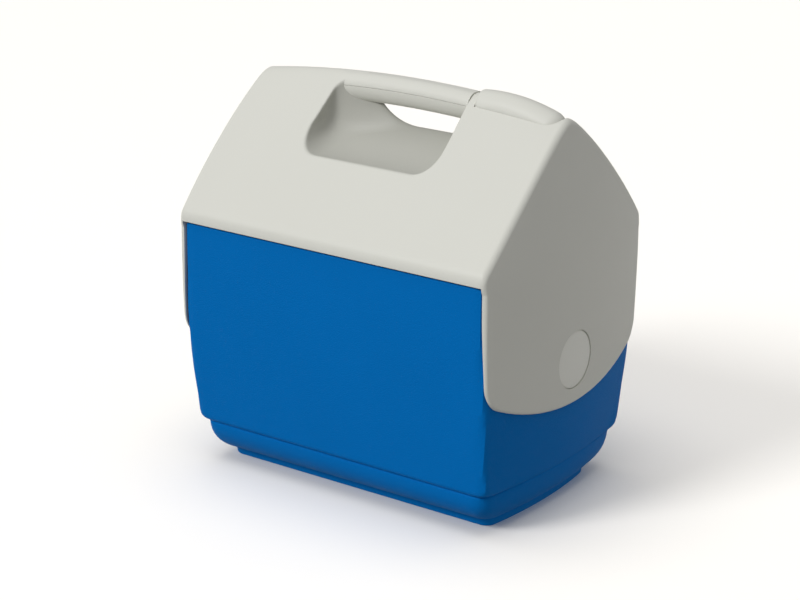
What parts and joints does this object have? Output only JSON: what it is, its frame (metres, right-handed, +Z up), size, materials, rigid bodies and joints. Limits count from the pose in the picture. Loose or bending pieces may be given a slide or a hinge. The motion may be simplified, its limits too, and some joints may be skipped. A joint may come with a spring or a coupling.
{
  "type": "cooler chest",
  "caption": "Small personal cooler chest with an insulated tub, a tent-shaped lid that swings to either side about end pivots, a through carry handle and a push-button latch",
  "frame": {"origin": "centre of the base, on the surface the chest stands on", "axes": "+X along the ridge towards the push button, -Y towards the front, +Z up"},
  "size_m": [0.3008, 0.2178, 0.3108],
  "materials": {
    "blue_plastic": "fine pebble grain, satin",
    "white_plastic": "smooth satin",
    "liner_plastic": "smooth",
    "foam": "open cell, matt",
    "steel": "zinc plated"
  },
  "bodies": {
    "body": {"body_shell": "blue_plastic", "body_insulation": "foam", "body_liner": "liner_plastic", "foam_plug": "blue_plastic", "pivot_bush_left": "liner_plastic", "pivot_bush_right": "liner_plastic", "latch_keeper": "liner_plastic", "keeper_screws": "steel"},
    "lid": {"lid_shell": "white_plastic", "lid_insulation": "foam", "lid_liner": "liner_plastic", "handle_upper": "white_plastic", "handle_lower": "white_plastic", "handle_screws": "steel", "pivot_pin_left": "steel", "pivot_pin_right": "steel", "pivot_cap_left": "white_plastic", "pivot_cap_right": "white_plastic", "latch_guide": "liner_plastic", "spring_seat": "liner_plastic", "button_spring": "steel"},
    "latch": {"push_button": "white_plastic", "latch_slider": "liner_plastic", "latch_bolt": "steel", "slider_screw": "steel"}
  },
  "joints": [
    {"name": "lid_swing", "type": "hinge", "parent": "body", "child": "lid", "pos_m": [0, 0, 0.119], "axis": [1, 0, 0], "range_deg": [-65, 65]},
    {"name": "button_press", "type": "slide", "parent": "lid", "child": "latch", "axis": [0, 0, -1], "range_m": [0, 0.005], "stiffness_N_per_m": 700, "springref_m": -0.003, "deforming": ["button_spring"]}
  ]
}
